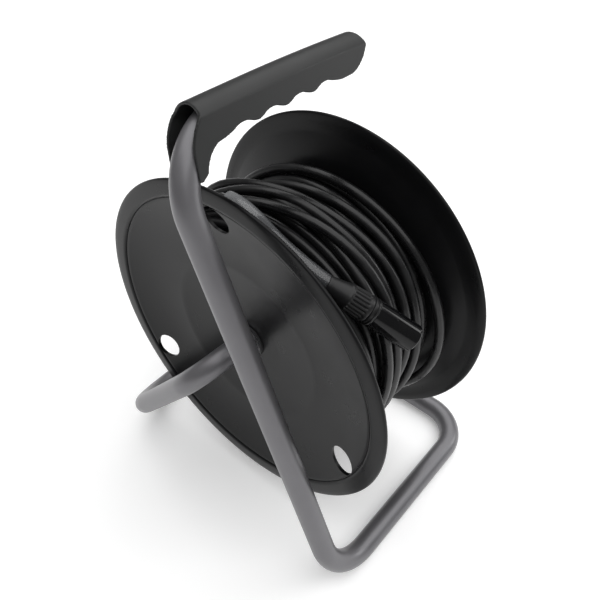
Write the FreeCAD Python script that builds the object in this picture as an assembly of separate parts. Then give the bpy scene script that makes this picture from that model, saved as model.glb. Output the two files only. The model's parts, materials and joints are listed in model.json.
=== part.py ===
import FreeCAD, Part
import math
import os

# Portable cable reel: a plastic drum that turns on the end of a bent tube stand.
# Millimetres, +Z up. The drum turns about a line along Y. The origin is on the floor,
# under the middle of the reel.

# Stand
TUBE_R = 10.0
TUBE_BORE_R = 8.5
GRIP_AXIS_X = -12.9
GRIP_AXIS_Z = 387.5
TUBE_FREE_END_Y = 71.0
TUBE_FREE_END_Z = 385.0
LEG_Y = -106.0
RISER_Y = -113.0
BACK_Y = 113.0
RIGHT_X = 144.5
LEFT_X = -142.0
STAND_BENDS = (56.0, 42.0, 38.0, 38.0, 80.0, 40.0)
AXLE_END = 57.3

# Drum. Profiles are (radius, distance from the drum's middle plane).
DRUM_Y = -3.25
HUB_Z = 182.0
FLANGE_R = 155.0
CORE_R = 76.0
CORE_WALL = 3.0
CORE_HALF = 55.3
BUSH_BORE_R = 10.05
BUSH_R = 14.0
HUB_BOSS_R = 18.0
HOLE_RING_R = 127.0
FINGER_HOLE_R = 12.5
FINGER_HOLE_ANGLES = (95.0, 215.0, 335.0)
ANCHOR_ANGLE = 205.0
ANCHOR_ALONG = 34.0
TIE_RING_R = 50.0
TIE_ANGLES = (30.0, 150.0, 270.0)
TIE_SHANK_R = 2.5

# Grip. Its section is (u, v), across and up, about the tube's middle. It leans a little
# towards the leg, and sinks towards its far end.
GRIP_LEAN = 15.0
GRIP_HALF_WIDTH = 14.5
GRIP_CROWN_V = 13.3
GRIP_CREASE_V = 4.7
GRIP_SINK = 2.5
GRIP_SINK_FROM = -35.0
GRIP_SINK_OVER = 110.0
CHANNEL_R = 10.35
CHANNEL_HALF_WIDTH = 10.3
CHANNEL_END_Y = 77.0
MOUTH_HALF_WIDTH = 12.4
MOUTH_CROWN_V = 11.4
MOUTH_CREASE_V = 2.0
MOUTH_END_Y = -56.0
GRIP_PIN_R = 3.4
GRIP_PIN_Y = 60.5
GRIP_PIN_V = -4.8
SCALLOP_START = -50.0
SCALLOP_PITCH = 27.7
SCALLOPS = 4
SCALLOP_DEEP_V = -9.4
SCALLOP_LOW_V = -12.8

# Cable and its connector
CABLE_R = 4.25
CONNECTOR_START = (71.5, -44.2, 279.9)
CONNECTOR_DIRECTION = (0.691, 0.44, -0.573)
BOOT_START_R = 6.3
BOOT_LENGTH = 37.0
NUT_START = 16.5
NUT_R = 11.0
RING_END = 42.0
RING_R = 11.2
SHELL_END = 81.0
SHELL_R = 11.2
SHELL_BORE_R = 9.7
CABLE_SEAT = 20.0
CONTACT_RING_R = 5.0
CONTACT_R = 1.5
CONTACTS = 3
TAIL_ROUTE = (
    (-98.0, -42.0, 227.0),
    (-76.0, -43.0, 273.0),
    (-31.0, -36.0, 309.0),
    (54.2, -55.2, 294.2),
    (85.3, -35.4, 268.4),
)
SLEEVE_R = 6.0
SLEEVE_BORE_R = 4.8
SLEEVE_END = 2.0

Y_AXIS = FreeCAD.Vector(0, 1, 0)
ORIGIN = FreeCAD.Vector(0, 0, 0)


def save(name, *solids):
    """Writes one node; several solids stay separate in it."""
    shape = solids[0] if len(solids) == 1 else Part.makeCompound(list(solids))
    shape.exportStep("parts/" + name + ".step")


def vector(point):
    return FreeCAD.Vector(*point)


def arc_corners(points, radii):
    """The edges of straight runs joined by tangent arcs of the given radii."""
    points = [vector(p) for p in points]
    edges = []
    last = points[0]
    for before, corner, after, radius in zip(points, points[1:], points[2:], radii):
        back = (before - corner).normalize()
        ahead = (after - corner).normalize()
        half_angle = math.acos(back.dot(ahead)) / 2
        reach = radius / math.tan(half_angle)
        inward = (back + ahead).normalize()
        centre = corner + inward * (radius / math.sin(half_angle))
        start = corner + back * reach
        end = corner + ahead * reach
        edges.append(Part.LineSegment(last, start).toShape())
        edges.append(Part.Arc(start, centre - inward * radius, end).toShape())
        last = end
    edges.append(Part.LineSegment(last, points[-1]).toShape())
    return edges


def swept_rod(points, radii, rod_radius):
    """A round rod along straight runs and tangent arcs."""
    path = Part.Wire(arc_corners(points, radii))
    start = vector(points[0])
    along = vector(points[1]) - start
    circle = Part.Wire([Part.makeCircle(rod_radius, start, along)])
    return path.makePipeShell([circle], True, False)


def cord_radii(points):
    """The largest arc that the two runs at each corner allow."""
    radii = []
    for before, corner, after in zip(points, points[1:], points[2:]):
        back = vector(before) - vector(corner)
        ahead = vector(after) - vector(corner)
        half_turn = (math.pi - back.getAngle(ahead)) / 2
        shorter = min(back.Length, ahead.Length)
        radii.append(0.45 * shorter / math.tan(half_turn))
    return radii


def turned(outline):
    """Turns a closed (radius, along) outline about Y. A step ("arc", through, end) is an arc."""
    edges = []
    last = outline[0]
    for step in list(outline[1:]) + [outline[0]]:
        start = FreeCAD.Vector(last[0], last[1], 0)
        if step[0] == "arc":
            through, last = step[1], step[2]
            middle = FreeCAD.Vector(through[0], through[1], 0)
            end = FreeCAD.Vector(last[0], last[1], 0)
            edges.append(Part.Arc(start, middle, end).toShape())
        else:
            last = step
            edges.append(Part.LineSegment(start, FreeCAD.Vector(last[0], last[1], 0)).toShape())
    return Part.Face(Part.Wire(edges)).revolve(ORIGIN, Y_AXIS, 360)


def ring(inner, outer, start, end):
    """A plain ring about Y, from start to end."""
    return turned([(inner, start), (outer, start), (outer, end), (inner, end)])


def disc(radius, start, end):
    return Part.makeCylinder(radius, end - start, FreeCAD.Vector(0, start, 0), Y_AXIS)


def on_drum(shape):
    """Moves a shape made about the Y axis to the drum's middle."""
    shape = shape.copy()
    shape.translate(FreeCAD.Vector(0, DRUM_Y, HUB_Z))
    return shape


def on_circle(radius, angle):
    """A point of the drum's cross-section, where angle 0 is +X and 90 is +Z."""
    return radius * math.cos(math.radians(angle)), radius * math.sin(math.radians(angle))


def drum_rod(radius, ring_radius, angle, start, end):
    """A rod parallel to the drum's axis."""
    x, z = on_circle(ring_radius, angle)
    return Part.makeCylinder(radius, end - start, FreeCAD.Vector(x, start, z), Y_AXIS)


# ---------------------------------------------------------------- stand


def stand_route():
    """The middle line of the stand's tube: grip, leg, three base runs, riser, axle."""
    return (
        (GRIP_AXIS_X, TUBE_FREE_END_Y, TUBE_FREE_END_Z),
        (GRIP_AXIS_X, LEG_Y, GRIP_AXIS_Z),
        (RIGHT_X, LEG_Y, TUBE_R),
        (RIGHT_X, BACK_Y, TUBE_R),
        (LEFT_X, BACK_Y, TUBE_R),
        (LEFT_X, RISER_Y, TUBE_R),
        (0.0, RISER_Y, HUB_Z),
        (0.0, DRUM_Y + AXLE_END, HUB_Z),
    )


def on_grip(shape):
    """Moves a shape from the grip's (u, y, v) frame to its place on the tube."""
    shape = shape.copy()
    shape.rotate(ORIGIN, Y_AXIS, -GRIP_LEAN)
    shape.translate(FreeCAD.Vector(GRIP_AXIS_X, 0, GRIP_AXIS_Z))
    return shape


def grip_pin_shape(radius):
    start = FreeCAD.Vector(-GRIP_HALF_WIDTH, GRIP_PIN_Y, GRIP_PIN_V)
    return Part.makeCylinder(radius, 2 * GRIP_HALF_WIDTH, start, FreeCAD.Vector(1, 0, 0))


def frame_tube():
    outside = swept_rod(stand_route(), STAND_BENDS, TUBE_R)
    bore = swept_rod(stand_route(), STAND_BENDS, TUBE_BORE_R)
    return outside.cut(bore).cut(on_grip(grip_pin_shape(GRIP_PIN_R)))


def sink(y):
    """How far the grip's shape is below its near end's level."""
    return GRIP_SINK * (max(0.0, y - GRIP_SINK_FROM) / GRIP_SINK_OVER) ** 2


def arched_section(half_width, crown, crease, y):
    """A closed wire across the grip: upright sides, arch on top."""
    corners = [(-half_width, -45), (-half_width, crease), (half_width, crease), (half_width, -45)]
    left_foot, left, right, right_foot = [FreeCAD.Vector(u, y, v) for u, v in corners]
    return Part.Wire([
        Part.LineSegment(left_foot, left).toShape(),
        Part.Arc(left, FreeCAD.Vector(0, y, crown), right).toShape(),
        Part.LineSegment(right, right_foot).toShape(),
        Part.LineSegment(right_foot, left_foot).toShape(),
    ])


def grip_bar():
    """The arched bar the grip is cut from, bent down a little at its far end."""
    section = arched_section(GRIP_HALF_WIDTH, GRIP_CROWN_V, GRIP_CREASE_V, -110)
    level = FreeCAD.Vector(0, GRIP_SINK_FROM, 0)
    middle, end = [FreeCAD.Vector(0, y, -sink(y)) for y in (30.0, 95.0)]
    path = Part.Wire([
        Part.LineSegment(FreeCAD.Vector(0, -110, 0), level).toShape(),
        Part.Arc(level, middle, end).toShape(),
    ])
    return path.makePipeShell([section], True, False)


def grip_side():
    """The grip's outline seen from the side: mouth, skirt, finger scallops and far end."""
    edges = []

    def line(a, b):
        edges.append(Part.LineSegment(FreeCAD.Vector(0, *a), FreeCAD.Vector(0, *b)).toShape())

    def arc(a, b, c):
        points = [FreeCAD.Vector(0, *p) for p in (a, b, c)]
        edges.append(Part.Arc(*points).toShape())

    line((-79.0, 16.0), (-81.0, 6.0))
    arc((-81.0, 6.0), (-88.5, -2.0), (-93.0, -12.0))
    line((-93.0, -12.0), (-95.5, -30.0))
    arc((-95.5, -30.0), (-94.6, -32.2), (-92.3, -32.3))
    line((-92.3, -32.3), (-87.0, -29.0))
    arc((-87.0, -29.0), (-81.7, -19.7), (-73.0, -13.9))
    last = (-73.0, -13.9)
    for k in range(SCALLOPS):
        middle = SCALLOP_START + k * SCALLOP_PITCH
        near, far = middle - 7.5, middle + 7.5
        low = (near + far - SCALLOP_PITCH) / 2
        start = (near, -11.1 - sink(near))
        end = (far, -11.1 - sink(far))
        arc(last, (low, SCALLOP_LOW_V - sink(low)), start)
        arc(start, (middle, SCALLOP_DEEP_V - sink(middle)), end)
        last = end
    arc(last, (47.0, -14.0), (52.0, -14.9))
    line((52.0, -14.9), (64.0, -14.9))
    arc((64.0, -14.9), (76.8, -8.8), (84.0, 0.5))
    line((84.0, 0.5), (82.5, 16.0))
    line((82.5, 16.0), (-79.0, 16.0))
    return Part.Face(Part.Wire(edges))


def tube_room():
    """The space the tube takes in the grip, and the slot below it, in the reel's own frame."""
    near = vector(stand_route()[1])
    far = vector(stand_route()[0])
    along = (far - near).normalize()
    far = near + along * (CHANNEL_END_Y - LEG_Y)
    rod = swept_rod([tuple(far)] + list(stand_route()[1:3]), STAND_BENDS[:1], CHANNEL_R)
    lean = math.radians(GRIP_LEAN)
    across = FreeCAD.Vector(math.cos(lean), 0, math.sin(lean)) * CHANNEL_HALF_WIDTH
    down = FreeCAD.Vector(math.sin(lean), 0, -math.cos(lean)) * 60.0
    middle = Part.Face(Part.makePolygon([near - across, near + across, far + across, far - across, near - across]))
    return rod, middle.extrude(down)


def grip_shell():
    side = grip_side()
    side.translate(FreeCAD.Vector(-20, 0, 0))
    body = grip_bar().common(side.extrude(FreeCAD.Vector(40, 0, 0)))
    mouth = Part.Face(arched_section(MOUTH_HALF_WIDTH, MOUTH_CROWN_V, MOUTH_CREASE_V, -120))
    body = body.cut(mouth.extrude(FreeCAD.Vector(0, 120 + MOUTH_END_Y, 0)))
    body = on_grip(body.cut(grip_pin_shape(GRIP_PIN_R)))
    for room in tube_room():
        body = body.cut(room)
    return body


def grip_tube_plug():
    """The plastic plug in the tube's free end, inside the grip."""
    head_r = TUBE_R - 0.3
    plug = turned([(0, -5), (TUBE_BORE_R, -5), (TUBE_BORE_R, 0), (head_r, 0), (head_r, 2), (0, 2)])
    along = vector(stand_route()[0]) - vector(stand_route()[1])
    plug.Placement = FreeCAD.Placement(vector(stand_route()[0]), FreeCAD.Rotation(Y_AXIS, along))
    return plug


# ---------------------------------------------------------------- axle hardware


def axle_collar():
    collar = ring(TUBE_R, 15, -61.7, -57.1)
    return collar.cut(collar_screw_shape(2.0))


def collar_screw_shape(radius):
    start = FreeCAD.Vector(0, -59.4, TUBE_R)
    return Part.makeCylinder(radius, 4.6, start, FreeCAD.Vector(0, 0, 1))


def collar_set_screw():
    socket = Part.makeCylinder(1.1, 2.0, FreeCAD.Vector(0, -59.4, TUBE_R + 2.6), FreeCAD.Vector(0, 0, 1))
    return collar_screw_shape(2.0).cut(socket)


def retaining_screw():
    """A hexagon head screw with its shank in the axle insert."""
    head_r, head_start, head_end = 7.5, 61.6, 66.9
    corners = [on_circle(head_r, 60 * k) for k in range(7)]
    outline = Part.makePolygon([FreeCAD.Vector(x, head_start, z) for x, z in corners])
    head = Part.Face(outline).extrude(FreeCAD.Vector(0, head_end - head_start, 0))
    return head.fuse(disc(3.9, 41.0, head_start)).removeSplitter()


# ---------------------------------------------------------------- drum


def flange(side, finger_holes, tie_bosses):
    """One flange: a dished disc with a flat rim band and a hub boss. side is -1 or +1."""
    outline = [
        (BUSH_R, 53.5), (34.0, 53.5),
        ("arc", (57.0, 55.3), (78.0, 58.2)),
        ("arc", (108.0, 61.8), (139.2, 70.0)),
        (139.9, 69.4), (140.6, 70.8), (142.0, 71.5), (153.6, 71.5),
        ("arc", (154.6, 71.1), (FLANGE_R, 70.1)),
        (FLANGE_R, 69.3),
        ("arc", (154.6, 68.4), (153.6, 68.0)),
        (140.0, 67.2),
        ("arc", (108.0, 59.2), (79.0, 55.4)),
        (72.5, 55.4), (66.0, 50.9), (HUB_BOSS_R, 50.9), (HUB_BOSS_R, 38.0), (BUSH_R, 38.0),
    ]
    steps = []
    for step in outline:
        if step[0] == "arc":
            steps.append(("arc", (step[1][0], side * step[1][1]), (step[2][0], side * step[2][1])))
        else:
            steps.append((step[0], side * step[1]))
    body = turned(steps)
    low, high = (-75.0, -60.0) if side < 0 else (60.0, 75.0)
    if finger_holes:
        for angle in FINGER_HOLE_ANGLES:
            body = body.cut(drum_rod(FINGER_HOLE_R, HOLE_RING_R, angle, low, high))
    for angle in TIE_ANGLES:
        if tie_bosses:
            body = body.fuse(drum_rod(5.0, TIE_RING_R, angle, -51.5, -26.0))
            body = body.cut(drum_rod(TIE_SHANK_R, TIE_RING_R, angle, -48.0, -25.0))
        else:
            body = body.cut(drum_rod(TIE_SHANK_R + 0.2, TIE_RING_R, angle, 45.0, 60.0))
            body = body.cut(drum_rod(5.0, TIE_RING_R, angle, 53.5, 60.0))
    return body.removeSplitter()


def core_barrel():
    barrel = ring(CORE_R - CORE_WALL, CORE_R, -CORE_HALF, CORE_HALF)
    x, z = on_circle(CORE_R, ANCHOR_ANGLE)
    slot = Part.makeBox(14, 10, 14, FreeCAD.Vector(x - 7, ANCHOR_ALONG - 5, z - 7))
    return barrel.cut(slot)


def anchor_block():
    """A block inside the core that clamps the cable's inner end, and its two screws."""
    block = Part.makeBox(8, 26, 16, FreeCAD.Vector(60.0, ANCHOR_ALONG - 14, -8))
    screws = []
    for y in (ANCHOR_ALONG - 10, ANCHOR_ALONG + 8):
        block = block.cut(Part.makeCylinder(1.8, 8.0, FreeCAD.Vector(60.0, y, 0), FreeCAD.Vector(1, 0, 0)))
        shank = Part.makeCylinder(1.6, 9.0, FreeCAD.Vector(58.8, y, 0), FreeCAD.Vector(1, 0, 0))
        head = Part.makeCylinder(3.0, 2.0, FreeCAD.Vector(57.8, y, 0), FreeCAD.Vector(1, 0, 0))
        screws.append(shank.fuse(head).removeSplitter())
    pieces = [block] + screws
    for piece in pieces:
        piece.rotate(ORIGIN, Y_AXIS, -ANCHOR_ANGLE)
    return pieces


def core_tie_screw(angle):
    """A pan head screw from the far flange into the near flange's boss."""
    shank = drum_rod(TIE_SHANK_R - 0.1, TIE_RING_R, angle, -46.0, 53.5)
    head = drum_rod(4.6, TIE_RING_R, angle, 53.5, 56.6)
    socket = drum_rod(1.6, TIE_RING_R, angle, 54.6, 56.6)
    return shank.fuse(head).removeSplitter().cut(socket)


def hub_bush(side):
    """A flanged plain bearing, pressed in the flange's hub."""
    outline = [
        (BUSH_BORE_R, 40.0), (BUSH_R, 40.0), (BUSH_R, 53.5), (17.0, 53.5), (17.0, 55.5), (BUSH_BORE_R, 55.5),
    ]
    return turned([(r, side * s) for r, s in outline])


def cable_winding():
    """The outer shape of all the turns: higher at the far flange than at the near one."""
    clear = 0.5
    return turned([
        (CORE_R + clear, -54.6), (90.0, -56.0), (106.0, -58.3), (109.0, -55.0),
        (111.0, -10.0), (115.0, 14.0), (117.0, 46.0), (121.0, 52.0), (121.0, 60.8),
        (106.0, 58.3), (90.0, 56.0), (CORE_R + clear, 54.6),
    ])


# ---------------------------------------------------------------- connector


def on_connector(shape):
    """Moves a shape made along +Z to the connector's place on the winding."""
    shape = shape.copy()
    turn = FreeCAD.Rotation(FreeCAD.Vector(0, 0, 1), vector(CONNECTOR_DIRECTION).normalize())
    shape.Placement = FreeCAD.Placement(vector(CONNECTOR_START), turn).multiply(shape.Placement)
    return shape


def turned_z(outline):
    """Turns a closed (radius, along) outline about Z."""
    points = [FreeCAD.Vector(r, 0, t) for r, t in outline]
    points.append(points[0])
    return Part.Face(Part.makePolygon(points)).revolve(ORIGIN, FreeCAD.Vector(0, 0, 1), 360)


def connector_boot():
    """The tapered boot and its ribbed nut, with a seat for the cable."""
    body = turned_z([
        (CABLE_R, 0.0), (BOOT_START_R, 0.0), (7.6, 8.0), (NUT_R - 1.4, NUT_START), (NUT_R - 0.8, NUT_START + 1),
        (NUT_R, BOOT_LENGTH - 2), (NUT_R - 0.5, BOOT_LENGTH), (0.0, BOOT_LENGTH), (0.0, CABLE_SEAT),
        (CABLE_R, CABLE_SEAT),
    ])
    ribs = 20
    for k in range(ribs):
        groove = Part.makeBox(2.0, 1.4, 13.5, FreeCAD.Vector(NUT_R - 1.1, -0.7, NUT_START + 3))
        groove.rotate(ORIGIN, FreeCAD.Vector(0, 0, 1), 360.0 * k / ribs)
        body = body.cut(groove)
    return body


def connector_ring():
    body = turned_z([(0.0, BOOT_LENGTH), (RING_R, BOOT_LENGTH), (RING_R, RING_END), (0.0, RING_END)])
    for k in range(6):
        notch = Part.makeBox(2.0, 2.6, 1.8, FreeCAD.Vector(RING_R - 0.9, -1.3, BOOT_LENGTH + 1.6))
        notch.rotate(ORIGIN, FreeCAD.Vector(0, 0, 1), 60.0 * k)
        body = body.cut(notch)
    return body


def connector_shell():
    return turned_z([(SHELL_BORE_R, RING_END), (SHELL_R, RING_END), (SHELL_R, SHELL_END), (SHELL_BORE_R, SHELL_END)])


def contact_rod(radius, angle, start, end):
    x, y = on_circle(CONTACT_RING_R, angle)
    return Part.makeCylinder(radius, end - start, FreeCAD.Vector(x, y, start), FreeCAD.Vector(0, 0, 1))


def connector_insert():
    body = Part.makeCylinder(SHELL_BORE_R, SHELL_END - 0.8 - 54.0, FreeCAD.Vector(0, 0, 54.0))
    for k in range(CONTACTS):
        body = body.cut(contact_rod(CONTACT_R, 30 + 120 * k, 50.0, SHELL_END))
    return body


def connector_contact(k):
    """A socket contact: a small sleeve set back from the insert's face."""
    body = contact_rod(CONTACT_R, 30 + 120 * k, 50.0, SHELL_END - 2.5)
    return body.cut(contact_rod(0.8, 30 + 120 * k, SHELL_END - 14.0, SHELL_END))


def half_space(point, direction):
    """A large block ahead of a plane."""
    block = Part.makeBox(400, 400, 400, FreeCAD.Vector(-200, -200, 0))
    turn = FreeCAD.Rotation(FreeCAD.Vector(0, 0, 1), direction)
    block.Placement = FreeCAD.Placement(point, turn)
    return block


def clear_sleeve():
    """The clear tube on the cable behind the boot, open at both ends."""
    radii = cord_radii(TAIL_ROUTE)
    outside = swept_rod(TAIL_ROUTE, radii, SLEEVE_R)
    sleeve = outside.cut(swept_rod(TAIL_ROUTE, radii, SLEEVE_BORE_R))
    before, corner, after = [vector(p) for p in TAIL_ROUTE[1:4]]
    along = (corner - before).normalize() + (after - corner).normalize()
    sleeve = sleeve.common(half_space(corner, along))
    axis = vector(CONNECTOR_DIRECTION).normalize()
    return sleeve.common(half_space(vector(CONNECTOR_START) - axis * SLEEVE_END, axis * -1))


def cable_tail():
    radii = cord_radii(TAIL_ROUTE)
    route = list(TAIL_ROUTE)
    tail = swept_rod(route, radii, CABLE_R)
    length = sum(edge.Length for edge in arc_corners(route, radii))
    print("cable tail radii", [round(r, 1) for r in radii], "length", round(length, 1))
    print("volume against section x length", round(tail.Volume / (math.pi * CABLE_R**2 * length), 4))
    return tail


def main():
    os.makedirs("parts", exist_ok=True)
    save("frame_tube", frame_tube())
    save("grip_shell", grip_shell())
    save("grip_pin", on_grip(grip_pin_shape(GRIP_PIN_R)))
    save("grip_tube_plug", grip_tube_plug())
    save("axle_collar", on_drum(axle_collar()))
    save("collar_set_screw", on_drum(collar_set_screw()))
    save("near_thrust_washer", on_drum(ring(TUBE_R + 0.2, 16, -57.1, -55.9)))
    save("far_thrust_washer", on_drum(ring(TUBE_R + 0.2, 16, 55.9, AXLE_END)))
    save("axle_insert", on_drum(disc(TUBE_BORE_R, 37, AXLE_END).cut(disc(4.0, 36, AXLE_END + 1))))
    save("retaining_washer", on_drum(ring(4.2, 16, AXLE_END, AXLE_END + 2.5)))
    save("spring_washer", on_drum(ring(4.2, 7.4, AXLE_END + 2.5, 61.6)))
    save("retaining_screw", on_drum(retaining_screw()))
    save("near_flange", on_drum(flange(-1, True, True)))
    save("far_flange", on_drum(flange(1, False, False)))
    save("core_barrel", on_drum(core_barrel()))
    save("hub_tube", on_drum(ring(HUB_BOSS_R + 0.05, 20.5, -50.85, 50.85)))
    save("near_hub_bush", on_drum(hub_bush(-1)))
    save("far_hub_bush", on_drum(hub_bush(1)))
    save("core_tie_screws", *[on_drum(core_tie_screw(a)) for a in TIE_ANGLES])
    block, *screws = anchor_block()
    save("cable_anchor_block", on_drum(block))
    save("cable_anchor_screws", *[on_drum(s) for s in screws])
    save("cable_winding", on_drum(cable_winding()))
    save("cable_tail", cable_tail())
    save("clear_sleeve", clear_sleeve())
    save("connector_boot", on_connector(connector_boot()))
    save("connector_ring", on_connector(connector_ring()))
    save("connector_shell", on_connector(connector_shell()))
    save("connector_insert", on_connector(connector_insert()))
    save("connector_contacts", *[on_connector(connector_contact(k)) for k in range(CONTACTS)])


main()
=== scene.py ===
import json
import math

import bmesh
import bpy
import numpy as np
from mathutils import Matrix, Vector


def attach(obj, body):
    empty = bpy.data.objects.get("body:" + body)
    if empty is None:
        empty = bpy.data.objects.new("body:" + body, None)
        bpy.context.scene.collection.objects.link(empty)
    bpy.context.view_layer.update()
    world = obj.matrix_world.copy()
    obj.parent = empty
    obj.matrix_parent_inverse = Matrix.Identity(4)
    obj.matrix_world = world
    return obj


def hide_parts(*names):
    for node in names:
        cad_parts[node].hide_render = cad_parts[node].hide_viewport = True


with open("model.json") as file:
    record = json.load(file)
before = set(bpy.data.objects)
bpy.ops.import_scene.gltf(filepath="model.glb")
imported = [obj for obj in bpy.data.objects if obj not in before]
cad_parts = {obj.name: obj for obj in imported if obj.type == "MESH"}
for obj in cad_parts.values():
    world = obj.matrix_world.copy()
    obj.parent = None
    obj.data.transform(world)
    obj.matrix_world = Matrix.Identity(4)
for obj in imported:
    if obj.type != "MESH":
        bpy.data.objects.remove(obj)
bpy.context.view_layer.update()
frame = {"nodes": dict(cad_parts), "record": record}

MM = 0.001
DRUM_Y = -3.25
HUB_Z = 182.0
CABLE_D = 8.5
CORE_R = 76.0
RNG = np.random.default_rng(7)

# The same routes as in the CAD source, in millimetres.
TAIL_ROUTE = (
    (-98.0, -42.0, 227.0),
    (-76.0, -43.0, 273.0),
    (-31.0, -36.0, 309.0),
    (54.2, -55.2, 294.2),
    (85.3, -35.4, 268.4),
)
CONNECTOR_START = Vector((71.5, -44.2, 279.9))
CONNECTOR_AXIS = Vector((0.691, 0.44, -0.573)).normalized()
KEY_ANGLE = math.radians(60.0)
STAND_ROUTE = (
    (-12.9, 71.0, 385.0),
    (-12.9, -106.0, 387.5),
    (144.5, -106.0, 10.0),
    (144.5, 113.0, 10.0),
    (-142.0, 113.0, 10.0),
    (-142.0, -113.0, 10.0),
    (0.0, -113.0, 182.0),
    (0.0, 54.05, 182.0),
)
STAND_BENDS = (56.0, 42.0, 38.0, 38.0, 80.0, 40.0)
TUBE_R = 10.0
TUBE_BORE_R = 8.5
GRIP_LEAN = math.radians(15.0)
GRIP_MIDDLE = Vector((-12.9, 0.0, 387.5))
TUBE_ROOM_R = 10.35
TUBE_ROOM_LENGTH = 183.0
SLOT_HALF_WIDTH = 10.3
FINGER_HOLES = (95.0, 215.0, 335.0)
FINGER_HOLE_PLACE_R = 127.0
FINGER_HOLE_R = 12.5


# ---------------------------------------------------------------- meshes


def mesh_object(name, vertices, faces):
    """A mesh object from millimetre vertices."""
    mesh = bpy.data.meshes.new(name)
    mesh.from_pydata([tuple(c * MM for c in v) for v in vertices], [], faces)
    mesh.validate()
    obj = bpy.data.objects.new(name, mesh)
    bpy.context.scene.collection.objects.link(obj)
    return obj


def shade(obj, angle=32.0):
    """Smooth shading, with sharp edges where faces meet at more than the angle."""
    mesh = obj.data
    work = bmesh.new()
    work.from_mesh(mesh)
    bmesh.ops.recalc_face_normals(work, faces=work.faces)
    for face in work.faces:
        face.smooth = True
    for edge in work.edges:
        if len(edge.link_faces) == 2:
            edge.smooth = edge.calc_face_angle(0.0) < math.radians(angle)
    work.to_mesh(mesh)
    work.free()
    return obj


def lathe(name, outline, segments=96, place=None):
    """Turns a closed (radius, along) outline about the local Y axis."""
    vertices = []
    for k in range(segments):
        angle = 2 * math.pi * k / segments
        for r, s in outline:
            vertices.append((r * math.cos(angle), s, r * math.sin(angle)))
    count = len(outline)
    faces = []
    for k in range(segments):
        for i in range(count):
            j = (i + 1) % count
            n = (k + 1) % segments
            faces.append((k * count + i, k * count + j, n * count + j, n * count + i))
    if place is not None:
        vertices = [tuple(place(Vector(v))) for v in vertices]
    obj = mesh_object(name, vertices, faces)
    work = bmesh.new()
    work.from_mesh(obj.data)
    bmesh.ops.remove_doubles(work, verts=work.verts, dist=1e-7)
    work.to_mesh(obj.data)
    work.free()
    return shade(obj)


def on_drum(v):
    """From the drum's own middle to the reel's frame."""
    return Vector((v.x, v.y + DRUM_Y, v.z + HUB_Z))


def connector_place(v):
    """Puts a shape turned about Y on the connector's axis, with its start at the boot."""
    turn = Vector((0, 1, 0)).rotation_difference(CONNECTOR_AXIS)
    return CONNECTOR_START + turn @ v


def sweep(name, centres, outer, inner=None, segments=40):
    """A tube along a fine line of points. With an inner radius it is hollow, with open ends."""
    centres = [Vector(c) for c in centres]
    tangents = []
    for i in range(len(centres)):
        a = centres[max(i - 1, 0)]
        b = centres[min(i + 1, len(centres) - 1)]
        tangents.append((b - a).normalized())
    side = tangents[0].orthogonal().normalized()
    radii = [outer] if inner is None else [outer, inner]
    rings = [[] for _ in radii]
    for i, (centre, tangent) in enumerate(zip(centres, tangents)):
        if i:
            side = tangents[i - 1].rotation_difference(tangent) @ side
        up = tangent.cross(side)
        for which, radius in enumerate(radii):
            r = radius[i] if hasattr(radius, "__len__") else radius
            for k in range(segments):
                a = 2 * math.pi * k / segments
                rings[which].append(centre + (side * math.cos(a) + up * math.sin(a)) * r)
    count = len(centres)
    vertices = [tuple(v) for ring in rings for v in ring]
    faces = []
    for which in range(len(radii)):
        base = which * count * segments
        for i in range(count - 1):
            for k in range(segments):
                n = (k + 1) % segments
                faces.append((base + i * segments + k, base + i * segments + n,
                              base + (i + 1) * segments + n, base + (i + 1) * segments + k))
    for end in (0, count - 1):
        if inner is None:
            faces.append(tuple(end * segments + k for k in range(segments)))
        else:
            base = count * segments
            for k in range(segments):
                n = (k + 1) % segments
                faces.append((end * segments + k, end * segments + n,
                              base + end * segments + n, base + end * segments + k))
    return shade(mesh_object(name, vertices, faces))


def rounded_route(points, radii, step=2.5, longest=12.0):
    """Fine points along straight runs joined by tangent arcs."""
    points = [Vector(p) for p in points]
    line = [points[0]]
    for before, corner, after, radius in zip(points, points[1:], points[2:], radii):
        back = (before - corner).normalized()
        ahead = (after - corner).normalized()
        half = back.angle(ahead) / 2
        reach = radius / math.tan(half)
        centre = corner + (back + ahead).normalized() * (radius / math.sin(half))
        start = corner + back * reach
        arm = start - centre
        axis = back.cross(ahead).normalized() * -1
        total = math.pi - 2 * half
        steps = max(8, int(radius * total / step))
        for k in range(steps + 1):
            share = k / steps
            line.append(centre + Matrix.Rotation(total * share, 3, axis) @ arm)
    line.append(points[-1])
    full = [line[0]]
    for a, b in zip(line, line[1:]):
        parts = max(1, int((b - a).length / longest))
        full += [a.lerp(b, (k + 1) / parts) for k in range(parts)]
    return full


def combine(obj, other, operation):
    """Applies a boolean with another object, which is then removed."""
    modifier = obj.modifiers.new("cut", "BOOLEAN")
    modifier.operation = operation
    modifier.object = other
    modifier.solver = "EXACT"
    apply_modifiers(obj)
    bpy.data.objects.remove(other)


def apply_modifiers(obj):
    """Turns what the modifiers make into the object's own mesh."""
    graph = bpy.context.evaluated_depsgraph_get()
    mesh = bpy.data.meshes.new_from_object(obj.evaluated_get(graph))
    obj.modifiers.clear()
    obj.data = mesh


# ---------------------------------------------------------------- materials


def start_material(name, color, roughness, metallic=0.0):
    """A Principled material with its basic values, and what is needed to build on it."""
    material = bpy.data.materials.new(name)
    material.use_nodes = True
    nodes = material.node_tree.nodes
    shader = nodes["Principled BSDF"]
    shader.inputs["Base Color"].default_value = (*color, 1.0)
    shader.inputs["Roughness"].default_value = roughness
    shader.inputs["Metallic"].default_value = metallic
    return material, nodes, material.node_tree.links, shader


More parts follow.
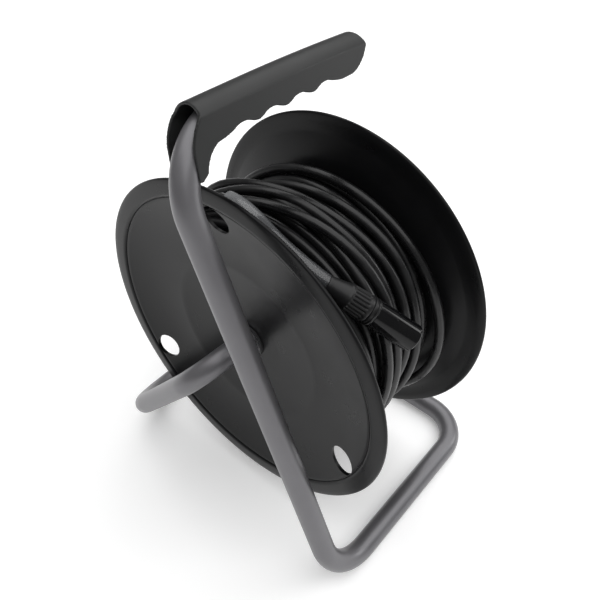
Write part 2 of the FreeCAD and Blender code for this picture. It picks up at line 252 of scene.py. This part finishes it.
def noise_node(nodes, links, scale, detail=3.0, stretch=(1.0, 1.0, 1.0)):
    """Noise on object coordinates, in cycles per metre."""
    where = nodes.new("ShaderNodeTexCoord")
    mapping = nodes.new("ShaderNodeMapping")
    mapping.inputs["Scale"].default_value = stretch
    noise = nodes.new("ShaderNodeTexNoise")
    noise.inputs["Scale"].default_value = scale
    noise.inputs["Detail"].default_value = detail
    links.new(where.outputs["Object"], mapping.inputs["Vector"])
    links.new(mapping.outputs["Vector"], noise.inputs["Vector"])
    return noise


def add_bump(nodes, links, shader, noise, strength, distance=0.0002):
    bump = nodes.new("ShaderNodeBump")
    bump.inputs["Strength"].default_value = strength
    bump.inputs["Distance"].default_value = distance
    links.new(noise.outputs["Fac"], bump.inputs["Height"])
    links.new(bump.outputs["Normal"], shader.inputs["Normal"])


def vary(nodes, links, noise, socket, low, high):
    """Drives a value socket between two values by the noise."""
    spread = nodes.new("ShaderNodeMapRange")
    spread.inputs["From Min"].default_value = 0.3
    spread.inputs["From Max"].default_value = 0.7
    spread.inputs["To Min"].default_value = low
    spread.inputs["To Max"].default_value = high
    links.new(noise.outputs["Fac"], spread.inputs["Value"])
    links.new(spread.outputs["Result"], socket)


def vary_color(nodes, links, noise, socket, dark, light):
    ramp = nodes.new("ShaderNodeValToRGB")
    ramp.color_ramp.elements[0].position = 0.3
    ramp.color_ramp.elements[1].position = 0.7
    ramp.color_ramp.elements[0].color = (*dark, 1.0)
    ramp.color_ramp.elements[1].color = (*light, 1.0)
    links.new(noise.outputs["Fac"], ramp.inputs["Fac"])
    links.new(ramp.outputs["Color"], socket)


def plastic(name, color, roughness, grain, grain_strength, spread, gloss):
    """Moulded plastic: slight cloudiness in colour and sheen, and a fine grain."""
    material, nodes, links, shader = start_material(name, color, roughness)
    cloud = noise_node(nodes, links, 38.0, 4.0)
    vary(nodes, links, cloud, shader.inputs["Roughness"], roughness - spread, roughness + spread)
    dark = tuple(c * 0.88 for c in color)
    light = tuple(c * 1.12 for c in color)
    vary_color(nodes, links, cloud, shader.inputs["Base Color"], dark, light)
    fine = noise_node(nodes, links, grain, 2.0)
    add_bump(nodes, links, shader, fine, grain_strength, 0.0001)
    shader.inputs["Specular IOR Level"].default_value = gloss
    return material


def paint_material():
    """Grey metallic paint with a faint orange peel."""
    color = (0.16, 0.157, 0.166)
    material, nodes, links, shader = start_material("stand_paint", color, 0.42, 0.5)
    cloud = noise_node(nodes, links, 30.0, 4.0)
    vary(nodes, links, cloud, shader.inputs["Roughness"], 0.39, 0.45)
    dark, light = (0.152, 0.149, 0.158), (0.17, 0.167, 0.176)
    vary_color(nodes, links, cloud, shader.inputs["Base Color"], dark, light)
    peel = noise_node(nodes, links, 260.0, 1.0)
    add_bump(nodes, links, shader, peel, 0.02, 0.0001)
    shader.inputs["Coat Weight"].default_value = 0.25
    shader.inputs["Coat Roughness"].default_value = 0.2
    return material


def steel_material(name, color, roughness):
    material, nodes, links, shader = start_material(name, color, roughness, 1.0)
    cloud = noise_node(nodes, links, 160.0, 5.0)
    vary(nodes, links, cloud, shader.inputs["Roughness"], roughness - 0.08, roughness + 0.1)
    fine = noise_node(nodes, links, 2600.0, 2.0)
    add_bump(nodes, links, shader, fine, 0.12, 0.00005)
    return material


def cable_material():
    """Black jacket with a slow waviness from the cores inside."""
    material, nodes, links, shader = start_material("cable_jacket", (0.006, 0.006, 0.0065), 0.3)
    cloud = noise_node(nodes, links, 55.0, 5.0)
    vary(nodes, links, cloud, shader.inputs["Roughness"], 0.22, 0.38)
    dark, light = (0.004, 0.004, 0.0045), (0.009, 0.009, 0.0095)
    vary_color(nodes, links, cloud, shader.inputs["Base Color"], dark, light)
    shader.inputs["Specular IOR Level"].default_value = 0.4
    twist = noise_node(nodes, links, 130.0, 3.0)
    add_bump(nodes, links, shader, twist, 0.22, 0.0006)
    return material


def sleeve_material():
    """Clear plastic, milkier towards its open end (the smaller X)."""
    material, nodes, links, shader = start_material("clear_plastic", (0.6, 0.61, 0.63), 0.1)
    shader.inputs["Specular IOR Level"].default_value = 0.9
    where = nodes.new("ShaderNodeTexCoord")
    split = nodes.new("ShaderNodeSeparateXYZ")
    milky = nodes.new("ShaderNodeMapRange")
    milky.inputs["From Min"].default_value = -0.034
    milky.inputs["From Max"].default_value = 0.03
    milky.inputs["To Min"].default_value = 1.0
    milky.inputs["To Max"].default_value = 0.0
    tint = nodes.new("ShaderNodeValToRGB")
    tint.color_ramp.elements[0].color = (0.1, 0.102, 0.107, 1.0)
    tint.color_ramp.elements[1].color = (0.3, 0.305, 0.315, 1.0)
    cover = nodes.new("ShaderNodeMapRange")
    cover.inputs["To Min"].default_value = 0.42
    cover.inputs["To Max"].default_value = 0.62
    links.new(where.outputs["Object"], split.inputs["Vector"])
    links.new(split.outputs["X"], milky.inputs["Value"])
    links.new(milky.outputs["Result"], tint.inputs["Fac"])
    links.new(tint.outputs["Color"], shader.inputs["Base Color"])
    links.new(milky.outputs["Result"], cover.inputs["Value"])
    links.new(cover.outputs["Result"], shader.inputs["Alpha"])
    cloud = noise_node(nodes, links, 60.0, 1.0, (0.2, 1.0, 1.0))
    vary(nodes, links, cloud, shader.inputs["Roughness"], 0.08, 0.18)
    return material


# Colour, roughness, grain per metre and its strength, spread of the roughness, gloss.
PLASTICS = {
    "grip_plastic": ((0.013, 0.0135, 0.0135), 0.42, 2400.0, 0.2, 0.05, 0.38),
    "drum_plastic": ((0.0055, 0.0055, 0.006), 0.3, 1500.0, 0.08, 0.03, 0.18),
    "black_plastic": ((0.009, 0.009, 0.0095), 0.36, 2200.0, 0.15, 0.05, 0.35),
    "bush_plastic": ((0.05, 0.05, 0.052), 0.4, 2000.0, 0.15, 0.06, 0.3),
    "connector_gloss": ((0.003, 0.003, 0.0035), 0.14, 900.0, 0.03, 0.03, 0.3),
}
# Colour and roughness.
METALS = {
    "bright_steel": ((0.6, 0.6, 0.61), 0.32),
    "dark_steel": ((0.12, 0.12, 0.125), 0.42),
    "contact_metal": ((0.72, 0.52, 0.24), 0.28),
}
MATERIALS = {"stand_paint": paint_material()}
for slot_name, values in PLASTICS.items():
    MATERIALS[slot_name] = plastic(slot_name, *values)
for slot_name, values in METALS.items():
    MATERIALS[slot_name] = steel_material(slot_name, *values)
MATERIALS["cable_jacket"] = cable_material()
MATERIALS["clear_plastic"] = sleeve_material()


def finish_piece(obj, slot, body, *nodes):
    """Gives a piece its material, its body and the CAD nodes it stands for."""
    obj.data.materials.clear()
    obj.data.materials.append(MATERIALS[slot])
    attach(obj, body)
    if nodes:
        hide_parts(*nodes)
    return obj


def dress_cad_nodes():
    """Procedural materials and smooth shading on the CAD nodes that stay."""
    slots = {s["node"]: s["material_slot"] for s in frame["record"]["subparts"]}
    for name, node in frame["nodes"].items():
        for place in node.material_slots:
            place.material = MATERIALS[slots[name]]
        node.data.shade_smooth()
        node.data.set_sharp_from_angle(angle=math.radians(30))


# ---------------------------------------------------------------- camera


CAMERA_PLACE = (0.27362, -0.30773, 0.57586)
CAMERA_AZIMUTH = math.radians(41.22)
CAMERA_ELEVATION = math.radians(43.28)
SENSOR_WIDTH = 36.0
LENS = 37.7544
LENS_SHIFT = (0.0072166667, -0.001)


def make_camera():
    data = bpy.data.cameras.new("camera")
    camera = bpy.data.objects.new("camera", data)
    bpy.context.scene.collection.objects.link(camera)
    az, el = CAMERA_AZIMUTH, CAMERA_ELEVATION
    right = Vector((math.cos(az), math.sin(az), 0))
    up = Vector((-math.sin(az) * math.sin(el), math.cos(az) * math.sin(el), math.cos(el)))
    ahead = Vector((-math.sin(az) * math.cos(el), math.cos(az) * math.cos(el), -math.sin(el)))
    rotation = Matrix((right, up, -ahead)).transposed().to_4x4()
    camera.matrix_world = Matrix.Translation(CAMERA_PLACE) @ rotation
    data.sensor_width = SENSOR_WIDTH
    data.lens = LENS
    data.shift_x, data.shift_y = LENS_SHIFT
    data.clip_start = 0.02
    data.dof.use_dof = False
    bpy.context.scene.camera = camera


# ---------------------------------------------------------------- cable


TURNS = 49
PER_TURN = 24
START_ANGLE = 190.0
START_PLACE = 34.0
END_RADIUS = 108.0
ANCHOR_ANGLE = math.radians(205.0)
ANCHOR_R = 70.0
# The flanges' inner faces: how far from the drum's middle plane they are at each radius.
WALL_RADII = (76.0, 79.0, 90.0, 108.0, 127.0, 140.0)
WALL_PLACES = (55.4, 55.4, 56.9, 59.2, 63.2, 67.2)
WALL_GAP = 0.3


def flange_limit(r):
    """How far along the axis a turn's middle may go at a radius."""
    return np.interp(r, WALL_RADII, WALL_PLACES) - CABLE_D / 2 - WALL_GAP


def wandering(turns):
    """Where each point of the winding would like to lie along the axis.

    The cable is laid to and fro between the flanges, evenly at first. The outer turns have a
    wider pitch and stray more.
    """
    count = turns * PER_TURN + 2
    along = np.zeros(count)
    position, direction = START_PLACE, 1.0
    drift = np.cumsum(RNG.normal(0, 0.22, count))
    drift -= np.convolve(drift, np.ones(60) / 60, "same")
    for i in range(count):
        turn = i / PER_TURN
        pitch = 8.75 if turn < 36 else 9.6
        position += direction * pitch / PER_TURN
        limit = 50.8 if turn < 13 else 52.5
        if abs(position) > limit:
            position = math.copysign(2 * limit - abs(position), position)
            direction = -direction
        along[i] = position
    blend = np.clip((np.arange(count) / PER_TURN - 34) / 6, 0, 1)
    return along + drift * (0.6 + 2.4 * blend)


# The last turns lie loosely. They fan out on the left and draw together on the right, and
# the very last one runs up against the far flange. Each row is one turn, the last one first.
LOOSE_ANGLES = (-185.0, -140.0, -90.0, -35.0, 0.0, 45.0, 120.0, 175.0)
LOOSE_TURNS = (
    (-38.0, -15.0, 30.0, 48.0, 50.0, 49.0, 40.0, 28.0),
    (28.0, 24.0, 18.0, 14.0, 26.0, 36.0, 20.0, 8.0),
    (8.0, 4.0, 2.0, 5.0, 16.0, 25.0, -2.0, -14.0),
    (-14.0, -12.0, -10.0, -4.0, 6.0, 13.0, -22.0, -33.0),
    (-33.0, -28.0, -24.0, -14.0, -8.0, -4.0, -38.0, -47.0),
)


def lay_loosely(along):
    """Overrides the last turns with the loose ones, blended in over one more turn."""
    last = len(along) - 1
    for k, places in enumerate(LOOSE_TURNS):
        for j in range(PER_TURN):
            angle = LOOSE_ANGLES[0] + 360.0 * j / PER_TURN
            along[last - k * PER_TURN - j] = np.interp(angle, LOOSE_ANGLES, places)
    first = last - len(LOOSE_TURNS) * PER_TURN
    for j in range(PER_TURN):
        share = j / PER_TURN
        along[first - j] = (1 - share) * LOOSE_TURNS[-1][-1] + share * along[first - j]
    return along


def slacken(radius):
    """Lifts the last turn off the others on the right.

    Its end is lowered to the height of the free end.
    """
    last = len(radius) - 1
    for j in range(2 * PER_TURN):
        angle = LOOSE_ANGLES[0] + 360.0 * (j % PER_TURN) / PER_TURN
        lift = 9.0 if j < PER_TURN else 2.0
        radius[last - j] += lift * math.exp(-(((angle + 10.0) / 45.0) ** 2))
    for j in range(8):
        share = j / 8
        radius[last - j] = (1 - share) * END_RADIUS + share * radius[last - j]
    return radius


def lay_turns(along):
    """Radii that rest each point on the turns below it, then smoothed round the drum.

    A point is checked against the last turns only, as older ones are covered.
    """
    remembered = 34
    sag = CABLE_D / 8
    count = len(along)
    bottom = CORE_R + CABLE_D / 2
    below = [[] for _ in range(PER_TURN)]
    radius = np.zeros(count)
    laid = np.array(along)
    for i in range(count):
        bin_here = i % PER_TURN
        r = bottom
        s = laid[i]
        for other_s, other_r in below[bin_here]:
            gap = abs(s - other_s)
            if gap < CABLE_D:
                r = max(r, other_r + math.sqrt(CABLE_D**2 - gap**2))
        limit = flange_limit(r)
        laid[i] = min(max(s, -limit), limit)
        radius[i] = r
        below[bin_here].append((laid[i], r))
        if len(below[bin_here]) > remembered:
            below[bin_here].pop(0)
    smooth = radius.copy()
    for _ in range(10):
        mean = smooth.copy()
        mean[1:-1] = 0.25 * smooth[:-2] + 0.5 * smooth[1:-1] + 0.25 * smooth[2:]
        smooth = np.maximum(mean, radius - sag)
    return smooth, laid


def drum_points(radius, along, start_angle):
    """Control points round the drum, the way the cable is wound."""
    points = []
    # A spline of order 3 runs inside its control points by this much.
    ease = 0.75 + 0.25 * math.cos(2 * math.pi / PER_TURN)
    for i, (r, s) in enumerate(zip(radius, along)):
        angle = math.radians(start_angle) - 2 * math.pi * i / PER_TURN
        r = r / ease
        points.append((r * math.cos(angle), s + DRUM_Y, HUB_Z + r * math.sin(angle)))
    return points


def spline_object(name, points):
    """A curve object with one spline of order 3 that starts and ends on its end points."""
    curve = bpy.data.curves.new(name, "CURVE")
    curve.dimensions = "3D"
    spline = curve.splines.new("NURBS")
    spline.points.add(len(points) - 1)
    for place, point in zip(spline.points, points):
        place.co = (*[c * MM for c in point], 1.0)
    spline.order_u = 3
    spline.use_endpoint_u = True
    obj = bpy.data.objects.new(name, curve)
    bpy.context.scene.collection.objects.link(obj)
    return obj


def make_cable():
    """The whole cable: its anchored end in the core, the winding and the free end."""
    along = lay_loosely(wandering(TURNS))
    radius, along = lay_turns(along)
    radius = slacken(radius)
    body = drum_points(radius, along, START_ANGLE)
    first = (
        ANCHOR_R * math.cos(ANCHOR_ANGLE),
        START_PLACE + DRUM_Y,
        HUB_Z + ANCHOR_R * math.sin(ANCHOR_ANGLE),
    )
    points = [first] + body + list(TAIL_ROUTE)
    cable = spline_object("cable", points)
    curve = cable.data
    curve.splines[0].resolution_u = 3
    curve.resolution_u = 3
    curve.bevel_depth = CABLE_D / 2 * MM
    curve.bevel_resolution = 5
    curve.use_fill_caps = True
    finish_piece(cable, "cable_jacket", "drum", "cable_winding", "cable_tail")
    print("cable length m", round(curve_length(points), 3))


def curve_length(points):
    """Length in metres of the line through the middles of the control points' sides."""
    middle = [Vector(p) for p in points]
    line = [middle[0]] + [(a + b) / 2 for a, b in zip(middle, middle[1:])] + [middle[-1]]
    return sum((b - a).length for a, b in zip(line, line[1:])) * MM


def tail_line():
    """Points along the cable's own spline near its free end, without the bevel."""
    holder = spline_object("tail_line", TAIL_ROUTE)
    holder.data.resolution_u = 24
    mesh = bpy.data.meshes.new_from_object(holder)
    line = [v.co / MM for v in mesh.vertices]
    bpy.data.objects.remove(holder)
    return line


# ---------------------------------------------------------------- drum pieces


def bowed(a, b, c, steps):
    """Points on the parabola from a through b to c, without a."""
    fit = np.polyfit([a[0], b[0], c[0]], [a[1], b[1], c[1]], 2)
    radii = np.linspace(a[0], c[0], steps + 1)[1:]
    return [(float(r), float(np.polyval(fit, r))) for r in radii]


def flange_outline(side):
    """Half of a flange's section: (radius, distance from the drum's middle plane)."""
    outline = [(14.0, 53.5), (34.0, 53.5)]
    # The dished outer face.
    outline += bowed((34.0, 53.5), (57.0, 55.3), (78.0, 58.2), 12)
    outline += bowed((78.0, 58.2), (108.0, 61.8), (139.0, 69.9), 26)
    # A groove, then the flat rim band and its rounded edge.
    outline += [(139.4, 69.85), (139.65, 69.4), (140.0, 69.4), (140.25, 70.1)]
    outline += [(140.8, 70.9), (141.8, 71.35), (143.5, 71.5)]
    outline += [(150.0, 71.5), (153.4, 71.45), (154.4, 71.1), (154.9, 70.4), (155.0, 69.8)]
    outline += [(154.9, 69.1), (154.3, 68.4), (153.4, 68.0), (147.0, 67.7), (140.0, 67.2)]
    # The inner face, the seat of the core and the hub.
    outline += bowed((140.0, 67.2), (108.0, 59.2), (79.0, 55.4), 24)
    outline += [(75.0, 55.35), (72.5, 55.2), (70.0, 54.0), (67.5, 51.8), (65.5, 50.9)]
    outline += [(18.0, 50.9), (18.0, 38.0), (14.0, 38.0)]
    return [(r, side * s) for r, s in outline]


def make_flange(name, side):
    """A flange on one side. Only the near one has finger holes."""
    flange = lathe(name, flange_outline(side), 288, on_drum)
    if side < 0:
        for angle in FINGER_HOLES:
            cut_finger_hole(flange, math.radians(angle))
    shade(flange, 38)
    return finish_piece(flange, "drum_plastic", "drum", name)


def cut_finger_hole(flange, angle):
    """Cuts one finger hole through the flange, with plain edges."""
    x = FINGER_HOLE_PLACE_R * math.cos(angle)
    z = FINGER_HOLE_PLACE_R * math.sin(angle)

    def place(v):
        return on_drum(Vector((v.x + x, v.y, v.z + z)))

    outline = [(0.001, -80.0), (FINGER_HOLE_R, -80.0), (FINGER_HOLE_R, -50.0), (0.001, -50.0)]
    combine(flange, lathe("cutter", outline, 64, place), "DIFFERENCE")


# ---------------------------------------------------------------- connector


def ribbed(name, outline, ribs, rib_from, rib_to, depth, segments):
    """A lathe whose radius dips between lengthwise ribs over part of its length."""
    obj = lathe(name, outline, segments)
    for v in obj.data.vertices:
        r = math.hypot(v.co.x, v.co.z)
        s = v.co.y / MM
        if r / MM < 9.0 or not rib_from <= s <= rib_to:
            continue
        a = math.atan2(v.co.z, v.co.x)
        wave = 0.5 - 0.5 * math.cos(ribs * a)
        edge = min(1.0, (s - rib_from) / 1.2, (rib_to - s) / 1.2)
        dip = depth * MM * (1 - min(1.0, wave * 1.7)) * max(0.0, edge)
        v.co.x *= (r - dip) / r
        v.co.z *= (r - dip) / r
    for v in obj.data.vertices:
        v.co = connector_place(v.co / MM) * MM
    obj.data.update()
    return shade(obj, 40)


def make_boot():
    """The tapered boot and its nut, with long rounded ribs."""
    outline = [(4.25, 0.0), (5.9, 0.0), (6.3, 0.5)]
    outline += [(6.3 + 3.3 * (t / 16.5) ** 1.15, t) for t in np.linspace(1, 16.5, 12)]
    outline += [(9.75, 16.9), (10.15, 17.4), (10.25, 18.0)]
    outline += [(10.25 + 0.75 * (t - 18.0) / 17.0, t) for t in np.linspace(18.6, 35.2, 34)]
    outline += [(10.8, 36.4), (10.4, 37.0), (0.01, 37.0), (0.01, 20.0), (4.25, 20.0)]
    boot = ribbed("connector_boot_detail", outline, 20, 19.0, 33.5, 1.0, 240)
    return finish_piece(boot, "black_plastic", "drum", "connector_boot")


def make_ring():
    """The locking ring: two bands, with short notches between them."""
    outline = [(0.01, 37.0), (10.6, 37.0), (11.1, 37.3), (11.2, 37.7), (11.2, 38.5)]
    outline += [(10.5, 38.7), (10.5, 40.2), (11.2, 40.4), (11.2, 41.4), (10.9, 42.0), (0.01, 42.0)]
    ring = ribbed("connector_ring_detail", outline, 12, 40.2, 42.2, 0.5, 144)
    return finish_piece(ring, "black_plastic", "drum", "connector_ring")


def make_shell():
    """The glossy shell, with a shallow key along it that narrows half way."""
    outline = [(9.7, 42.0), (10.7, 42.0), (11.0, 42.3)]
    outline += [(11.0, float(t)) for t in np.linspace(42.6, 79.9, 60)]
    outline += [(10.9, 80.5), (10.5, 81.0), (9.8, 80.9), (9.7, 80.4)]
    shell = lathe("connector_shell_detail", outline, 240)
    for v in shell.data.vertices:
        r, along = math.hypot(v.co.x, v.co.z), v.co.y / MM
        if r / MM < 10.6 or along > 79.5:
            continue
        angle = math.atan2(v.co.z, v.co.x)
        away = abs(math.remainder(angle - KEY_ANGLE, 2 * math.pi)) * 11.0
        half = 3.6 if along < 58.0 else 2.2
        sideways = float(np.clip((half - away) / 0.5 + 0.5, 0, 1))
        lengthwise = float(np.clip((79.5 - along) / 0.6, 0, 1))
        rise = 0.35 * MM * sideways * lengthwise
        v.co.x *= (r + rise) / r
        v.co.z *= (r + rise) / r
    for v in shell.data.vertices:
        v.co = connector_place(v.co / MM) * MM
    shade(shell, 28)
    return finish_piece(shell, "connector_gloss", "drum", "connector_shell")


def make_sleeve():
    """The clear sleeve on the cable, from the route's third point into the boot."""
    line = tail_line()
    corner = Vector(TAIL_ROUTE[2])
    nearest = min(range(len(line)), key=lambda i: (line[i] - corner).length)
    stop = CONNECTOR_START + CONNECTOR_AXIS * 2.0
    last = min(range(len(line)), key=lambda i: (line[i] - stop).length)
    path = line[nearest : last + 1]
    share = np.linspace(0, 1, len(path))
    outer = [6.0 + 0.9 * (1 - t) ** 2 for t in share]
    inner = [o - 0.6 for o in outer]
    sleeve = sweep("clear_sleeve_detail", path, outer, inner, 40)
    return finish_piece(sleeve, "clear_plastic", "drum", "clear_sleeve")


# ---------------------------------------------------------------- stand pieces


def make_stand_tube():
    """The whole bent tube of the stand, hollow."""
    route = rounded_route(STAND_ROUTE, STAND_BENDS)
    tube = sweep("stand_tube_detail", route, TUBE_R, TUBE_BORE_R, 56)
    return finish_piece(tube, "stand_paint", "stand", "frame_tube")


def grip_block(name, outline, width):
    """A prism of a side outline in (y, v), across the grip."""
    vertices = [(-width, y, v) for y, v in outline] + [(width, y, v) for y, v in outline]
    count = len(outline)
    faces = [tuple(range(count)), tuple(range(2 * count - 1, count - 1, -1))]
    for i in range(count):
        j = (i + 1) % count
        faces.append((i, i + count, j + count, j))
    return shade(mesh_object(name, vertices, faces))


def sink(y):
    """How far the grip's shape is below its near end's level."""
    return 2.5 * (max(0.0, y + 35.0) / 110.0) ** 2


def arched_bar(name, half_width, crown, crease, stations):
    """A bar with an arched top, sunk a little towards the grip's far end."""
    rise = crown - crease
    radius = (half_width**2 + rise**2) / (2 * rise)
    spread = math.asin(half_width / radius)
    section = [(-half_width, -45.0)]
    for t in np.linspace(-spread, spread, 41):
        section.append((radius * math.sin(t), crown - radius + radius * math.cos(t)))
    section.append((half_width, -45.0))
    vertices = [(u, y, v - sink(y)) for y in stations for u, v in section]
    count = len(section)
    faces = [tuple(range(count - 1, -1, -1)), tuple(range(len(vertices) - count, len(vertices)))]
    for i in range(len(stations) - 1):
        for k in range(count):
            n = (k + 1) % count
            faces.append((i * count + k, i * count + n, (i + 1) * count + n, (i + 1) * count + k))
    return shade(mesh_object(name, vertices, faces))


def curve_through(a, b, c, steps):
    """Points on the circle arc from a through b to c, without a."""
    a, b, c = (np.array(p, float) for p in (a, b, c))
    ab, ac = b - a, c - a
    cross = 2 * (ab[0] * ac[1] - ab[1] * ac[0])
    ux = (ac[1] * (ab @ ab) - ab[1] * (ac @ ac)) / cross
    uy = (ab[0] * (ac @ ac) - ac[0] * (ab @ ab)) / cross
    centre = a + (ux, uy)
    radius = math.hypot(ux, uy)
    angles = [math.atan2(*(p - centre)[::-1]) for p in (a, b, c)]
    direction = 1 if cross > 0 else -1
    total = (direction * (angles[2] - angles[0])) % (2 * math.pi)
    points = []
    for k in range(1, steps + 1):
        angle = angles[0] + direction * total * k / steps
        points.append(tuple(centre + radius * np.array((math.cos(angle), math.sin(angle)))))
    return points


def grip_outline():
    """The grip from the side, in (y, v): mouth, skirt, finger scallops and far end."""
    points = [(-79.0, 16.0), (-80.6, 8.0), (-81.0, 6.0)]
    points += curve_through((-81.0, 6.0), (-88.5, -2.0), (-93.0, -12.0), 12)
    points += [(-94.4, -21.0), (-95.5, -30.0)]
    points += curve_through((-95.5, -30.0), (-94.6, -32.2), (-92.3, -32.3), 5)
    points += [(-87.0, -29.0)]
    points += curve_through((-87.0, -29.0), (-81.7, -19.7), (-73.0, -13.9), 12)
    last = (-73.0, -13.9)
    pitch = 27.7
    for k in range(4):
        middle = -50.0 + pitch * k
        near, far = middle - 7.5, middle + 7.5
        low = (near + far - pitch) / 2
        start = (near, -11.1 - sink(near))
        end = (far, -11.1 - sink(far))
        points += curve_through(last, (low, -12.8 - sink(low)), start, 8)
        points += curve_through(start, (middle, -9.4 - sink(middle)), end, 10)
        last = end
    points += curve_through(last, (47.0, -14.0), (52.0, -14.9), 6)
    points += [(64.0, -14.9)]
    points += curve_through((64.0, -14.9), (76.8, -8.8), (84.0, 0.5), 10)
    points += [(83.2, 9.0), (82.5, 16.0)]
    return points


def grip_slot():
    """The open slot under the tube's room, in the reel's own frame."""
    near, far = Vector(STAND_ROUTE[1]), Vector(STAND_ROUTE[0])
    far = near + (far - near).normalized() * TUBE_ROOM_LENGTH
    across = Vector((math.cos(GRIP_LEAN), 0, math.sin(GRIP_LEAN))) * SLOT_HALF_WIDTH
    down = Vector((math.sin(GRIP_LEAN), 0, -math.cos(GRIP_LEAN))) * 60.0
    top = [near - across, near + across, far + across, far - across]
    vertices = [tuple(v) for v in top] + [tuple(v + down) for v in top]
    faces = [(3, 2, 1, 0), (4, 5, 6, 7)]
    faces += [(0, 1, 5, 4), (1, 2, 6, 5), (2, 3, 7, 6), (3, 0, 4, 7)]
    return shade(mesh_object("grip_slot", vertices, faces))


def make_grip():
    """The moulded grip, with room for the tube, an open slot below it and soft edges."""
    stations = [float(y) for y in np.linspace(-110.0, 100.0, 43)]
    grip = arched_bar("grip_detail", 14.5, 13.3, 4.7, stations)
    combine(grip, grip_block("side", grip_outline(), 20.0), "INTERSECT")
    combine(grip, arched_bar("grip_mouth", 12.4, 11.4, 2.0, [-115.0, -56.0]), "DIFFERENCE")
    turn = Matrix.Rotation(-GRIP_LEAN, 3, "Y")
    for v in grip.data.vertices:
        v.co = turn @ v.co + GRIP_MIDDLE * MM
    near, far = Vector(STAND_ROUTE[1]), Vector(STAND_ROUTE[0])
    end = near + (far - near).normalized() * TUBE_ROOM_LENGTH
    room = rounded_route([end, near, Vector(STAND_ROUTE[2])], STAND_BENDS[:1])
    combine(grip, sweep("grip_room", room, TUBE_ROOM_R, None, 64), "DIFFERENCE")
    combine(grip, grip_slot(), "DIFFERENCE")
    remesh = grip.modifiers.new("remesh", "REMESH")
    remesh.mode = "VOXEL"
    remesh.voxel_size = 0.55 * MM
    remesh.adaptivity = 0.0
    soften = grip.modifiers.new("soften", "SMOOTH")
    soften.iterations = 3
    soften.factor = 0.5
    apply_modifiers(grip)
    for polygon in grip.data.polygons:
        polygon.use_smooth = True
    return finish_piece(grip, "grip_plastic", "stand", "grip_shell")


# ---------------------------------------------------------------- studio


def area_light(name, place, target, size, power):
    """A square area light in watts, turned to a target."""
    data = bpy.data.lights.new(name, "AREA")
    data.energy = power
    data.size = size
    light = bpy.data.objects.new(name, data)
    bpy.context.scene.collection.objects.link(light)
    light.location = place
    aim = Vector(target) - Vector(place)
    light.rotation_euler = aim.to_track_quat("-Z", "Y").to_euler()


WHITE = (1.0, 1.0, 1.0, 1.0)


def make_studio():
    """White surroundings, a pale floor that glows a little, and two soft lights."""
    world = bpy.data.worlds.new("studio")
    bpy.context.scene.world = world
    world.use_nodes = True
    background = world.node_tree.nodes["Background"]
    background.inputs["Color"].default_value = WHITE
    background.inputs["Strength"].default_value = 0.24
    side = 8000.0
    corners = [(-side, -side, 0), (side, -side, 0), (side, side, 0), (-side, side, 0)]
    floor = mesh_object("floor", corners, [(0, 1, 2, 3)])
    material, nodes, links, shader = start_material("floor_white", (0.93, 0.93, 0.93), 0.7)
    cloud = noise_node(nodes, links, 3.0, 2.0)
    dark, light = (0.92, 0.92, 0.92), (0.94, 0.94, 0.94)
    vary_color(nodes, links, cloud, shader.inputs["Base Color"], dark, light)
    shader.inputs["Emission Color"].default_value = WHITE
    shader.inputs["Emission Strength"].default_value = 0.22
    floor.data.materials.append(material)
    area_light("overhead", (0.3, 1.0, 3.0), (0.3, 1.0, 0.0), 6.0, 185)
    area_light("side", (1.3, 1.5, 0.8), (0.0, 0.0, 0.05), 0.7, 6)
    view = bpy.context.scene.view_settings
    view.view_transform = "Standard"
    view.look = "None"
    view.exposure = 0.0


make_camera()
dress_cad_nodes()
connector = [make_boot(), make_ring(), make_shell()]
sleeve = make_sleeve()
make_cable()
make_flange("near_flange", -1)
make_flange("far_flange", 1)
make_stand_tube()
make_grip()
make_studio()
